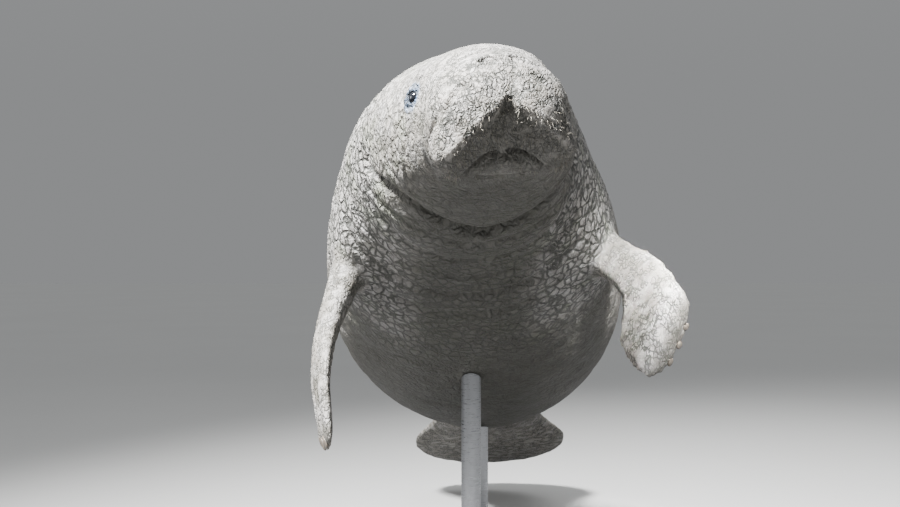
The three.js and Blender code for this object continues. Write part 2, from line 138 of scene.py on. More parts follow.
def makeSpine(v):
    behind = np.arange(0, v["bodyLength"] + 0.25, v["step"])

    def blend(a, b, c):
        first = smoothStep(v["headEnds"] - 0.060, v["neckEnds"], behind)
        return np.radians(a + (b - a) * first + (c - b) * smoothStep(v["rumpStarts"], v["bodyLength"], behind))

    pitch = blend(v["headPitch"], v["bodyPitch"], v["tailPitch"])
    yaw = blend(v["headYaw"], v["bodyYaw"], v["bodyYaw"])
    roll = blend(v["headRoll"], v["bodyRoll"], v["bodyRoll"])[:, None]
    ahead = np.stack([np.sin(yaw) * np.cos(pitch), -np.cos(yaw) * np.cos(pitch), np.sin(pitch)], 1)
    flatLeft = np.stack([np.cos(yaw), np.sin(yaw), np.zeros_like(yaw)], 1)
    flatUp = np.cross(ahead, flatLeft)
    left = flatLeft * np.cos(roll) + flatUp * np.sin(roll)
    up = flatUp * np.cos(roll) - flatLeft * np.sin(roll)
    place = np.concatenate([np.zeros((1, 3)), -np.cumsum(ahead[:-1] * v["step"], 0)])
    place += np.array([0, 0, v["standHeight"]]) - place[round(v["standBehind"] / v["step"])]
    return {"behind": behind, "place": place, "ahead": ahead, "left": left, "up": up, "step": v["step"]}


spine = makeSpine(spineValues)


def spineAt(key, behind):
    return np.stack([np.interp(behind, spine["behind"], spine[key][:, k]) for k in range(3)], -1)


def straightOf(co):  # places in the pose as behind, left and up of the straight body
    k = np.argmin(((co[:, None, :] - spine["place"][None, ::20, :]) ** 2).sum(2), 1)
    behind = spine["behind"][::20][k].astype(float)
    for turn in range(14):
        off = ((co - spineAt("place", behind)) * spineAt("ahead", behind)).sum(1)
        behind = np.clip(behind - off, -0.1, 3.0)
        low = behind < 0
        behind[low] = 0
    off = ((co - spineAt("place", behind)) * spineAt("ahead", behind)).sum(1)
    rest = co - spineAt("place", behind)
    left = (rest * spineAt("left", behind)).sum(1)
    up = (rest * spineAt("up", behind)).sum(1)
    return np.stack([behind - off, left, up], 1)


def posedOf(straight):  # the way back
    behind = straight[:, 0]
    inside = np.clip(behind, 0, None)
    out = spineAt("place", inside) + spineAt("ahead", inside) * (inside - behind)[:, None]
    return out + spineAt("left", inside) * straight[:, 1:2] + spineAt("up", inside) * straight[:, 2:3]


# The flippers, each in its own flat lie
flipperValues = {
    "shoulderBehind": 0.750,
    "left": {
        "root": (-0.037, 0.281, -0.135), "axis": (0.595, 0.269, -0.757), "thumb": (-0.564, -0.532, -0.632),
        "bends": [(0.272, -16, 108, 0.015)], "stretch": 1.0, "side": -1,
    },
    "right": {
        "root": (0.003, -0.244, -0.130), "axis": (0.1, -0.285, -0.95), "thumb": (0.958, 0.284, 0.042),
        "bends": [(0.120, 0, 14, 0.5), (0.275, -20, 12, 0.12)], "stretch": 1.22, "side": 1,
    },
}


def unbend(flat, at, slant, angle, radius):
    c, s = math.cos(math.radians(slant)), math.sin(math.radians(slant))
    turn = math.radians(angle)
    past = (flat[:, 0] - at) * c + flat[:, 1] * s
    beside = -(flat[:, 0] - at) * s + flat[:, 1] * c
    high = flat[:, 2] + radius
    swung = np.arctan2(past, high)
    inBend = (past > 0) & (swung < turn)
    beyond = (past > 0) & ~inBend
    newPast = np.where(inBend, swung * radius, past)
    newHigh = np.where(inBend, np.hypot(past, high) - radius, flat[:, 2])
    newPast = np.where(beyond, turn * radius + past * math.cos(turn) - high * math.sin(turn), newPast)
    newHigh = np.where(beyond, past * math.sin(turn) + high * math.cos(turn) - radius, newHigh)
    return np.stack([at + newPast * c - beside * s, newPast * s + beside * c, newHigh], 1)


def flatOf(co, name):  # along, across towards the thumb, and height towards the back of the flipper
    v = flipperValues[name]
    at = np.array([flipperValues["shoulderBehind"]])
    base = [spineAt(key, at)[0] for key in ("ahead", "left", "up")]

    def toWorld(w):
        return sum(base[k] * w[k] for k in range(3))

    root = spineAt("place", at)[0] + toWorld(v["root"])
    axis = toWorld(v["axis"])
    axis /= np.linalg.norm(axis)
    thumb = toWorld(v["thumb"])
    thumb -= axis * thumb.dot(axis)
    thumb /= np.linalg.norm(thumb)
    back = np.cross(axis, thumb) * v["side"]
    flat = np.stack([(co - root) @ axis, (co - root) @ thumb, (co - root) @ back], 1)
    for bend in reversed(v["bends"]):
        flat = unbend(flat, *bend)
    flat[:, 0] /= v["stretch"]
    return flat


# The bare skin: every flesh solid joined, remeshed in one go and eased, finest round the face
skinValues = {
    "flesh": ["head", "lower_jaw", "neck", "torso", "tail_stock", "tail_paddle", "flipper_left", "flipper_right"],
    "fillers": ["eye_left", "eye_right"] + ["nail_%s_%d" % (s, k) for s in ("left", "right") for k in (1, 2, 3)],
    "overlap": 0.0003,
    "faceAt": (0.0, -0.93, 1.06),
    "voxel": 0.0141,
    "coarse": 0.90,
    "finer": 2.5,
    "finerWithin": 0.28,
    "easeAll": 10,
    "easeBody": 60,
}


def gather(v):  # stretches space round the face, so that even voxels give a finer mesh there
    r = np.linspace(0, 4, 4001)
    finer = v["coarse"] + v["finer"] * np.exp(-((r / v["finerWithin"]) ** 2))
    reach = np.concatenate([[0], np.cumsum((finer[1:] + finer[:-1]) / 2 * (r[1] - r[0]))])
    centre = np.array(v["faceAt"])

    def move(co, a, b):
        d = co - centre
        far = np.linalg.norm(d, axis=1)[:, None]
        return centre + d * np.interp(far, a, b) / np.maximum(far, 1e-9)

    return (lambda co: move(co, r, reach)), (lambda co: move(co, reach, r))


def ease(co, ends, weight, rounds):
    count = np.maximum(np.bincount(ends.ravel(), minlength=len(co)), 1)
    for k in range(rounds):
        mean = np.stack([
            np.bincount(ends[:, 0], co[ends[:, 1], a], len(co)) + np.bincount(ends[:, 1], co[ends[:, 0], a], len(co))
            for a in range(3)
        ], 1) / count[:, None]
        co = co + (mean - co) * 0.5 * weight[:, None]
    return co


def endsOf(piece):
    ends = np.zeros(len(piece.data.edges) * 2, np.int64)
    piece.data.edges.foreach_get("vertices", ends)
    return ends.reshape(-1, 2)


def farFromNode(co, name, reach):  # distance to a CAD node, up to a reach
    tree = BVHTree.FromObject(nodes[name], bpy.context.evaluated_depsgraph_get())
    lo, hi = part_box(name)
    near = np.all((co > np.array(lo) - reach) & (co < np.array(hi) + reach), axis=1)
    far = np.full(len(co), reach)
    for i in np.nonzero(near)[0]:
        hit = tree.find_nearest(Vector(co[i]), reach)
        if hit[3] is not None:
            far[i] = hit[3]
    return far


def makeBareSkin(v):
    piece = mergedCopy(v["flesh"] + v["fillers"], "manatee_skin")
    applyModifier(piece, "DISPLACE", strength=v["overlap"], mid_level=0.0)
    out, back = gather(v)
    setPlaces(piece, out(placesOf(piece)))
    applyModifier(piece, "REMESH", mode="VOXEL", voxel_size=v["voxel"])
    setPlaces(piece, back(placesOf(piece)))
    print("skin remeshed:", len(piece.data.polygons), "faces")
    return piece


def refine(piece, chosen):  # halves the faces that are chosen by their centres
    centres = np.zeros(len(piece.data.polygons) * 3)
    piece.data.polygons.foreach_get("center", centres)
    chosen = chosen(centres.reshape(-1, 3))
    makeActive(piece)
    bpy.context.tool_settings.mesh_select_mode = (False, False, True)
    piece.data.vertices.foreach_set("select", np.zeros(len(piece.data.vertices), bool))
    piece.data.edges.foreach_set("select", np.zeros(len(piece.data.edges), bool))
    piece.data.polygons.foreach_set("select", chosen)
    bpy.ops.object.mode_set(mode="EDIT")
    bpy.ops.mesh.select_mode(type="FACE")
    bpy.ops.mesh.subdivide(number_cuts=1)
    bpy.ops.object.mode_set(mode="OBJECT")


# Eyes: a dark ball in a tight ring of lid
eyeValues = {
    "radius": 0.0123, "across": 0.0098, "long": 1.22, "tall": 1.0, "lidRise": 0.0016, "lidAt": 0.0130, "lidWide": 0.0026,
    "furrowAt": 0.0188, "furrowDeep": 0.0016, "rays": 13, "rayDeep": 0.0009, "dish": 0.0008, "lean": 0.26,
}
eyePlaces = {}
for side in ("left", "right"):
    lowest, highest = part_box("eye_" + side)
    eyePlaces[side] = np.array((lowest + highest) / 2)

# Folds pressed into the skin along paths of the straight body: width, depth and points in millimetres
foldValues = {
    "mouth": (3.8, 9.5, [(55, 2, -66), (50, 24, -68), (54, 42, -79), (64, 55, -91), (84, 64, -101), (112, 73, -111)]),
    "lowerLip": (9.0, -4.0, [(62, 0, -82), (62, 22, -84), (70, 40, -95), (86, 52, -108)]),
    "chinLine": (8.0, 4.0, [(86, 2, -104), (88, 26, -106), (100, 44, -114)]),
    "creaseTop": (10.0, -4.0, [(11, 52, 46), (16, 68, 30), (20, 84, 12), (28, 96, -6)]),
    "muzzleCrease": (4.2, 7.5, [(32, 98, -8), (46, 104, -22), (74, 110, -36), (108, 112, -54), (134, 105, -70), (156, 94, -88)]),
    "padCrease": (4.0, 2.5, [(6, 40, 44), (12, 58, 26), (16, 72, 4), (20, 82, -18)]),
    "cheekLine": (3.2, 3.0, [(196, 128, 10), (206, 132, -16), (222, 134, -40), (240, 132, -66), (262, 124, -90)]),
    "browCrease": (5.0, 3.0, [(150, 60, 108), (148, 90, 84), (154, 108, 50), (162, 118, 10), (182, 126, -30)]),
    "lowerCrease": (4.5, 2.5, [(142, 112, -10), (150, 114, -44), (168, 106, -80), (192, 96, -110)]),
    "eyeFurrow": (4.0, 3.0, [(192, 110, 66), (176, 104, 78), (156, 92, 92), (140, 70, 104)]),
    "eyeFurrowBehind": (4.0, 2.2, [(214, 126, 30), (236, 136, 10), (262, 146, -20), (280, 150, -44)]),
    "throatFold": (10.0, 11.0, [(440, 196, 0), (418, 190, -36), (385, 180, -66), (345, 163, -86), (312, 125, -118), (322, 72, -155), (345, 0, -176)]),
    "throatFoldBehind": (8.0, 4.0, [(470, 206, -40), (430, 190, -90), (384, 150, -134), (370, 84, -172), (384, 0, -190)]),
    "cheekFold": (7.0, 3.0, [(330, 168, 10), (310, 162, -30), (286, 150, -64), (268, 130, -96), (262, 100, -122)]),
    "frontNeckFold": (10.0, 5.0, [(470, 195, -90), (482, 140, -170), (500, 60, -205), (505, 0, -210)]),
    "neckFold": (9.0, 5.0, [(560, 238, 10), (566, 225, -70), (580, 190, -140), (604, 110, -204), (618, 0, -224)]),
    "neckFoldBehind": (11.0, 6.5, [(610, 250, 20), (640, 236, -90), (676, 160, -200), (700, 60, -236), (704, 0, -240)]),
    "chestFold": (12.0, 5.0, [(742, 205, -185), (752, 170, -215), (772, 100, -248), (780, 0, -258)]),
    "flankFold": (14.0, 5.0, [(900, 300, 20), (906, 316, -60), (930, 300, -140), (960, 250, -200)]),
    "tailFold": (12.0, 5.0, [(2080, 0, 90), (2086, 120, 60), (2092, 168, 0), (2086, 120, -64), (2080, 0, -92)]),
    "tailFoldBehind": (12.0, 4.0, [(2150, 0, 74), (2152, 130, 48), (2154, 178, 0), (2152, 130, -50), (2150, 0, -76)]),
}


# Folds of one side only
leaningFolds = {
    "cleft": (8.0, 4.5, [(0, 8, 6), (2, 7, -6), (7, 4, -22)]),
}


def curveThrough(path, count):  # a smooth line through the points of a path, in metres
    p = np.array(path, float) / 1000
    p = np.concatenate([[2 * p[0] - p[1]], p, [2 * p[-1] - p[-2]]])
    out = []
    for k in range(1, len(p) - 2):
        for t in np.linspace(0, 1, count, endpoint=False):
            a, b, c, d = p[k - 1], p[k], p[k + 1], p[k + 2]
            out.append(0.5 * (2 * b + (c - a) * t + (2 * a - 5 * b + 4 * c - d) * t * t + (3 * b - a - 3 * c + d) * t ** 3))
    out.append(p[-2])
    return np.array(out)


def farFromPath(places, points, reach):  # distance to a path, and how far along it the nearest point is
    far = np.full(len(places), 1.0)
    along = np.zeros(len(places))
    lo, hi = points.min(0) - reach, points.max(0) + reach
    near = np.nonzero(np.all((places > lo) & (places < hi), axis=1))[0]
    best = np.full(len(near), 1.0)
    which = np.zeros(len(near))
    for k, q in enumerate(points):
        d = ((places[near] - q) ** 2).sum(1)
        which = np.where(d < best, k / (len(points) - 1), which)
        best = np.minimum(best, d)
    far[near] = np.sqrt(best)
    along[near] = which
    return far, along


def onSkin(points, tree):  # drops the points of a path on the nearest skin
    dropped = np.array([tree.find(p)[0] for p in points])
    for k in range(3):
        dropped[1:-1] = (dropped[:-2] + 2 * dropped[1:-1] + dropped[2:]) / 4
    return dropped


def treeOf(places):
    tree = KDTree(len(places))
    for i, p in enumerate(places):
        tree.insert(p, i)
    tree.balance()
    return tree


def eachNoise(places, chosen, size, stretch=(1, 1, 1), offset=0.0):  # -1 to 1, one value for each place
    out = np.zeros(len(places))
    scaled = places * np.array(stretch) / size + offset
    for i in np.nonzero(chosen)[0]:
        out[i] = noise.noise(scaled[i])
    return out


def eachWarp(places, chosen, size, by):  # noise_vector differs from run to run, so three plain noises are used
    wobble = [eachNoise(places, chosen, size, offset=away) for away in (17.3, 41.9, 83.1)]
    return places + np.stack(wobble, 1) * by


def cracks(places, chosen, size, stretch, width):  # 1 in the cracks between irregular cells, 0 on them
    out = np.zeros(len(places))
    scaled = places * np.array(stretch) / size
    for i in np.nonzero(chosen)[0]:
        d = noise.voronoi(scaled[i])[0]
        out[i] = math.exp(-(((d[1] - d[0]) / width) ** 2))
    return out


# How deep the wrinkles are, in millimetres, and how wide their cells
wrinkleValues = {
    "cheekCell": 27, "cheekDeep": 1.6, "neckCell": 32, "neckDeep": 2.4, "bodyCell": 84, "bodyDeep": 3.6,
    "muzzleCell": 19, "muzzleDeep": 0.8, "ringSpacing": 58, "ringDeep": 3.2,
    "discHollow": 2.5, "discRim": 1.6, "discLines": 22, "discLineDeep": 0.6,
    "flipperCell": 26, "flipperDeep": 1.8, "fingerDeep": 1.8, "ridgeLightShare": 0.9,
}


def discOf(straight):  # the bristled underside of the muzzle: 0 at its rim, 1 at the mouth
    side = np.abs(straight[:, 1] * 1000 - 6)
    up = straight[:, 2] * 1000
    rim = -0.8 * (np.hypot(side, 4) - 4)
    mouth = -118 + 50 * (1 - np.clip(side / 72, 0, 1) ** 2.6) ** (1 / 2.6)
    share = (rim - up) / np.maximum(rim - mouth, 14)
    front = (straight[:, 0] < 0.085) & (side < 94)
    return np.where(front, share, -1), (up - rim) / 1.28


def pressSkin(piece, v):
    co = placesOf(piece)
    out = normalsOf(piece)
    straight = straightOf(co)
    everywhere = np.ones(len(co), bool)
    shifted = eachWarp(straight, straight[:, 0] < 1.2, 0.05, 0.0035)
    mirrored = shifted.copy()
    mirrored[:, 1] = np.abs(mirrored[:, 1])
    flippers = {s: farFromNode(co, "flipper_" + s, 0.03) for s in ("left", "right")}
    onFlipper = np.maximum(*[1 - smoothStep(0.002, 0.016, flippers[s]) for s in flippers])
    onBody = 1 - onFlipper
    push = np.zeros(len(co))
    # this mask darkens the hide in the pressed folds, wrinkle cracks and nostrils: painted shade
    creaseShade = np.zeros(len(co))
    mirroredTree = treeOf(np.abs(straight * np.array([0, 1, 0])) + straight * np.array([1, 0, 1]))
    leaningTree = treeOf(straight)
    for name, (wide, deep, path) in {**foldValues, **leaningFolds}.items():
        wide, deep = wide / 1000, deep / 1000
        leaning = name in leaningFolds
        line = onSkin(curveThrough(path, 14), leaningTree if leaning else mirroredTree)
        far, along = farFromPath(shifted if leaning else mirrored, line, wide * 3)
        fade = np.ones(len(co))
        if path[0][1] != 0:
            fade = fade * smoothStep(-0.02, 0.2, along)
        if path[-1][1] != 0:
            fade = fade * smoothStep(-0.02, 0.2, 1 - along)
        dent = np.exp(-((far / wide) ** 2)) * fade * onBody
        lip = np.exp(-(((far - wide * 1.9) / wide) ** 2)) * fade * onBody
        push += -deep * dent + deep * 0.3 * lip
        if deep > 0:
            creaseShade = np.maximum(creaseShade, dent**2.5)
    print("folds pressed")

    # the flat of the muzzle over the mouth, with its lines
    share, overRim = discOf(straight)
    inDisc = (share > 0) & (share < 1)
    hollow = np.where(inDisc, np.sin(np.pi * np.clip(share, 0, 1)) ** 0.8, 0)
    side = np.abs(straight[:, 1]) * 1000
    push -= hollow * v["discHollow"] / 1000 * (1 - smoothStep(40, 80, side))
    push += np.exp(-((overRim / 7) ** 2)) * (straight[:, 0] < 0.06) * (side > 10) * (side < 92) * v["discRim"] / 1000
    fan = np.arctan2(straight[:, 1], 0.035 - straight[:, 2])
    wave = np.cos(fan * v["discLines"] + eachNoise(straight, inDisc, 0.02) * 3.0)
    lines = np.where(inDisc, wave, 0) * smoothStep(0, 0.15, share) * (1 - smoothStep(0.62, 0.8, share))
    push += lines * v["discLineDeep"] / 1000

    # wrinkles in cells, short across the body and finest on the muzzle
    behind = straight[:, 0]
    warped = eachWarp(straight, everywhere, 0.03, 0.008)
    onCheek = smoothStep(0.10, 0.20, behind) * (1 - smoothStep(0.42, 0.52, behind))
    onNeck = smoothStep(0.36, 0.48, behind) * (1 - smoothStep(0.80, 1.00, behind))
    onTrunk = smoothStep(0.75, 0.95, behind) * (1 - smoothStep(2.15, 2.40, behind) * 0.8)
    onMuzzle = 1 - smoothStep(0.16, 0.26, behind)
    crown = smoothStep(0.05, 0.11, straight[:, 2]) * (1 - smoothStep(0.35, 0.6, behind))
    awayFromEyes = smoothStep(0.016, 0.034, np.minimum(*[np.linalg.norm(co - c, axis=1) for c in eyePlaces.values()]))
    patchy = 0.72 + 0.5 * eachNoise(straight, everywhere, 0.11)
    layers = [
        (onCheek * (1 - 0.55 * crown), "cheekCell", "cheekDeep", (1.25, 1, 1), 0.36),
        (onNeck, "neckCell", "neckDeep", (1.35, 1, 1), 0.34),
        (onTrunk, "bodyCell", "bodyDeep", (1.6, 0.8, 0.8), 0.24),
        (onMuzzle * (1 - 0.3 * crown), "muzzleCell", "muzzleDeep", (1, 1, 1), 0.40),
    ]
    for weight, cell, deep, stretch, width in layers:
        weight = weight * onBody * patchy * ~inDisc * awayFromEyes
        crack = cracks(warped, weight > 0.02, v[cell] / 1000, stretch, width)
        push -= crack * weight * v[deep] / 1000
        creaseShade = np.maximum(creaseShade, crack**4 * np.clip(weight * 1.3, 0, 1) * 0.4)
    rings = eachNoise(warped, (onTrunk + onNeck) > 0.02, v["ringSpacing"] / 1000, (1.0, 0.22, 0.22), 7.3)
    ringed = np.exp(-((rings / 0.13) ** 2)) * np.clip(onTrunk + onNeck * 0.8, 0, 1) * onBody * patchy
    push -= ringed * v["ringDeep"] / 1000
    creaseShade = np.maximum(creaseShade, ringed**3 * 0.5)
    print("wrinkles pressed")

    # flippers: wrinkled across down to the wrist, then smoother, with the finger bones showing
    paintedRidgeLight = np.zeros(len(co))
    beyond = np.zeros(len(co))
    for s in ("left", "right"):
        flat = flatOf(co, s)
        on = 1 - smoothStep(0.004, 0.018, flippers[s])
        chosen = on > 0.02
        bent = eachWarp(flat, chosen, 0.03, 0.006)
        toTip = smoothStep(0.17, 0.30, flat[:, 0])
        at, slant, angle, radius = flipperValues[s]["bends"][-1]
        past = (flat[:, 0] - at) * math.cos(math.radians(slant)) + flat[:, 1] * math.sin(math.radians(slant))
        # the knuckle ridge is painted paler, a painted highlight, and the part past the fold darker, painted shade
        paintedRidgeLight = np.maximum(paintedRidgeLight, np.exp(-(((past - 0.008) / 0.016) ** 2)) * on * v["ridgeLightShare"])
        beyond = np.maximum(beyond, smoothStep(0.014, 0.030, past) * on)
        crack = cracks(bent, chosen, v["flipperCell"] / 1000, (1.5, 0.62, 0.8), 0.32) * on * (1 - 0.75 * toTip)
        push -= crack * v["flipperDeep"] / 1000
        creaseShade = np.maximum(creaseShade, crack**4 * 0.6)
        fingers = np.cos(flat[:, 1] * 1000 / 44 * 2 * math.pi + 0.9) * smoothStep(0.19, 0.27, flat[:, 0])
        push += fingers * on * (flat[:, 2] > 0) * v["fingerDeep"] / 1000 * (1 - smoothStep(0.32, 0.35, flat[:, 0]))
    co = co + out * push[:, None]
    setPlaces(piece, co)
    setAttribute(piece, "creaseShade", creaseShade)
    setAttribute(piece, "fine", np.clip(onMuzzle + 0.25 * onCheek + 0.3 * onFlipper, 0, 1))
    # painted shade: the underside is darkened in colour, reaching higher up near the head
    lift = 0.09 * (1 - smoothStep(0.30, 0.44, behind))
    below = 1 - smoothStep(-0.22 + lift, -0.06 + lift * 0.2, straight[:, 2])
    setAttribute(piece, "cobble", np.clip(onCheek * 0.8 + onNeck + onTrunk * (0.3 + 0.4 * below), 0, 1) * onBody)
    # painted light: the top, the neck's sides and the flipper's knuckle ridge are painted paler
    litNeckSides = onNeck * smoothStep(0.08, 0.16, np.abs(straight[:, 1])) * 0.9
    setAttribute(piece, "crown", np.maximum(np.maximum(smoothStep(-0.02, 0.16, straight[:, 2]), litNeckSides) * onBody, paintedRidgeLight))
    setAttribute(piece, "lip", np.where(inDisc, smoothStep(0.55, 0.85, share), 0))
    # less of that painted shade on the neck's sides
    below = below * (1 - 0.85 * onNeck * smoothStep(0.08, 0.17, np.abs(straight[:, 1])))
    setAttribute(piece, "paddle", onFlipper)
    # painted shade on the underside, on the muzzle's disc and on the flipper past its fold
    setAttribute(piece, "under", np.maximum.reduce([below * onBody, smoothStep(-0.02, 0.22, share) * 0.85, beyond * 0.5]))


def pressEyes(piece, v):
    co = placesOf(piece)
    out = normalsOf(piece)
    around = np.zeros(len(co))
    for side, centre in eyePlaces.items():
        d = co - centre
        near = np.linalg.norm(d, axis=1) < 0.040
        level = out[near].mean(0)
        level /= np.linalg.norm(level)
        ahead = spineAt("ahead", np.array([0.2]))[0]
        ahead -= level * ahead.dot(level)
        ahead /= np.linalg.norm(ahead)
        tall = np.cross(level, ahead)
        high = d @ level
        x, y = d @ ahead, d @ tall
        lean = -v["lean"] * x
        r = np.hypot(x / v["long"], y / v["tall"])
        angle = np.arctan2(y, x)
        base = high[near & (np.hypot(x, y) > 0.018) & (np.hypot(x, y) < 0.022)].mean()
        flat = 1 - smoothStep(0.018, 0.032, np.hypot(x, y))
        lid = v["lidRise"] * np.exp(-(((r - v["lidAt"]) / v["lidWide"]) ** 2))
        ring = -v["furrowDeep"] * np.exp(-(((r - v["furrowAt"]) / 0.0028) ** 2))
        rays = v["rayDeep"] * np.cos(angle * v["rays"] + np.sin(angle * 3) * 1.5) * smoothStep(0.010, 0.013, r)
        rays = rays * (1 - smoothStep(0.022, 0.034, r)) - v["dish"] * np.exp(-((r / 0.021) ** 4))
        rim = smoothStep(v["across"] - 0.0012, v["across"] + 0.0014, r)
        target = (base + 0.0004 + lid + ring + rays + lean) * rim + 0.0030 * (1 - rim)
        co[near] += (level * ((target - high) * flat)[:, None])[near]
        around = np.maximum(around, near * (1 - smoothStep(0.010, 0.032, r + 0.0016 * np.cos(angle * 9))))
    setPlaces(piece, co)
    setAttribute(piece, "eyeRound", around)


nostrilValues = {
    "behind": 29, "middle": 8, "left": 23, "up": 67, "half": 11, "arch": 5, "splay": 14, "wide": 3.1, "deep": 10.0, "rim": 2.2,
}


def pressNostrils(piece, v):
    co = placesOf(piece)
    out = normalsOf(piece)
    straight = straightOf(co)
    straight[:, 1] = np.abs(straight[:, 1] - v["middle"] / 1000)
    turn = math.radians(-v["splay"])
    path = []
    for t in (-1, -0.5, 0, 0.5, 1):
        x, y = t * v["half"], v["arch"] * (1 - t * t)
        x, y = x * math.cos(turn) - y * math.sin(turn), x * math.sin(turn) + y * math.cos(turn)
        path.append((v["behind"] + 0.743 * y, v["left"] + x, v["up"] + 0.669 * y))
    far, along = farFromPath(straight, onSkin(curveThrough(path, 8), treeOf(straight)), 0.016)
    dent = np.exp(-((far / (v["wide"] / 1000)) ** 2))
    rim = np.exp(-(((far - 0.006) / 0.0035) ** 2))
    setPlaces(piece, co + out * (-dent * v["deep"] / 1000 + rim * v["rim"] / 1000)[:, None])
    # the nostril slits are darkened too: painted shade
    old = piece.data.attributes["creaseShade"]
    values = np.zeros(len(co), np.float32)
    old.data.foreach_get("value", values)
    old.data.foreach_set("value", np.maximum(values, dent * 1.6).astype(np.float32))


def sinkNails(piece):  # the skin stands up a little round the nails
    co = placesOf(piece)
    out = normalsOf(piece)
    push = np.zeros(len(co))
    for side in ("left", "right"):
        for k in (1, 2, 3):
            far = farFromNode(co, "nail_%s_%d" % (side, k), 0.012)
            inside = 1 - smoothStep(0.0, 0.0025, far)
            push += -0.0008 * inside + 0.0022 * np.exp(-(((far - 0.0045) / 0.0028) ** 2))
    setPlaces(piece, co + out * push[:, None])


def makeSkin(v):
    piece = makeBareSkin(v)

    def nearFace(centres):
        straight = straightOf(centres)
        side = np.abs(straight[:, 1])
        disc = (straight[:, 0] < 0.095) & (side < 0.095) & (straight[:, 2] < 0.03) & (straight[:, 2] > -0.115)
        nostrils = (np.abs(straight[:, 0] - 0.029) < 0.022) & (side < 0.05) & (straight[:, 2] > 0.045)
        eyes = np.minimum(*[np.linalg.norm(centres - c, axis=1) for c in eyePlaces.values()]) < 0.034
        return disc | nostrils | eyes

    def nearEyes(centres):
        return np.minimum(*[np.linalg.norm(centres - c, axis=1) for c in eyePlaces.values()]) < 0.026

    def atLids(centres):
        return np.minimum(*[np.linalg.norm(centres - c, axis=1) for c in eyePlaces.values()]) < 0.0195

    refine(piece, nearFace)
    refine(piece, nearEyes)
    refine(piece, atLids)
    co = placesOf(piece)
    ends = endsOf(piece)
    straight = straightOf(co)
    onFlipper = np.minimum(farFromNode(co, "flipper_left", 0.05), farFromNode(co, "flipper_right", 0.05))
    away = smoothStep(0.004, 0.05, onFlipper)
    body = smoothStep(0.50, 0.85, straight[:, 0]) * (1 - smoothStep(2.3, 2.5, straight[:, 0]) * 0.8) * away
    co = ease(co, ends, np.ones(len(co)), v["easeAll"])
    co = ease(co, ends, body, v["easeBody"])
    setPlaces(piece, co)
    print("skin eased:", len(piece.data.polygons), "faces")
    pressSkin(piece, wrinkleValues)
    pressNostrils(piece, nostrilValues)
    pressEyes(piece, eyeValues)
    sinkNails(piece)
    piece.data.polygons.foreach_set("use_smooth", np.ones(len(piece.data.polygons), bool))
    triangles = sum(len(f.vertices) - 2 for f in piece.data.polygons)
    print("skin shaped:", triangles, "triangles")
    return piece


skin = makeSkin(skinValues)


# Materials
class Tree:  # a material's nodes, added and linked by name
    def __init__(self, name, colour, roughness):
        self.material = bpy.data.materials.new(name)
        self.material.use_nodes = True
        self.tree = self.material.node_tree
        self.shader = self.tree.nodes["Principled BSDF"]
        self.shader.inputs["Base Color"].default_value = (*colour, 1)
        self.shader.inputs["Roughness"].default_value = roughness

    def add(self, kind, inputs=None, **settings):
        made = self.tree.nodes.new("ShaderNode" + kind)
        for key, value in settings.items():
            setattr(made, key, value)
        for key, value in (inputs or {}).items():
            socket = made.inputs[key]
            if isinstance(value, bpy.types.NodeSocket):
                self.tree.links.new(value, socket)
            else:
                socket.default_value = value
        return made

    def maths(self, what, a, b=0.0, clamp=False):
        return self.add("Math", {0: a, 1: b}, operation=what, use_clamp=clamp).outputs[0]

    def mix(self, share, a, b, blend="MIX"):
        made = self.add("Mix", data_type="RGBA", blend_type=blend)
        for key, value in ((0, share), (6, a), (7, b)):
            if isinstance(value, bpy.types.NodeSocket):
                self.tree.links.new(value, made.inputs[key])
            else:
                made.inputs[key].default_value = value if key == 0 else (*value, 1)
        return made.outputs[2]

    def ramp(self, value, low, high):
        made = self.add("MapRange", {"Value": value, "From Min": low, "From Max": high}, interpolation_type="SMOOTHSTEP")
        return made.outputs["Result"]

    def attribute(self, name):
        return self.add("Attribute", attribute_name=name)

    def to(self, socket, value):
        self.tree.links.new(value, self.shader.inputs[socket])


hideValues = {
    # crack is painted shade in the wrinkle lines and folds; pale serves spots of wear and painted light on the top
    "pale": (0.60, 0.58, 0.565), "mid": (0.345, 0.32, 0.285), "dark": (0.215, 0.20, 0.172), "crack": (0.028, 0.031, 0.025),
    # the next colour is painted shade, for the underside, the muzzle's disc and the flipper past its fold
    "under": (0.080, 0.078, 0.066),
    "weed": (0.27, 0.30, 0.20), "lip": (0.36, 0.34, 0.32), "eyeSkin": (0.31, 0.40, 0.55), "eyeRim": (0.045, 0.085, 0.16),
    "roughness": 0.5, "cobbleTall": 3.6, "slimTall": 1.4, "fineTall": 1.0, "rollTall": 2.5,  # heights in mm
}


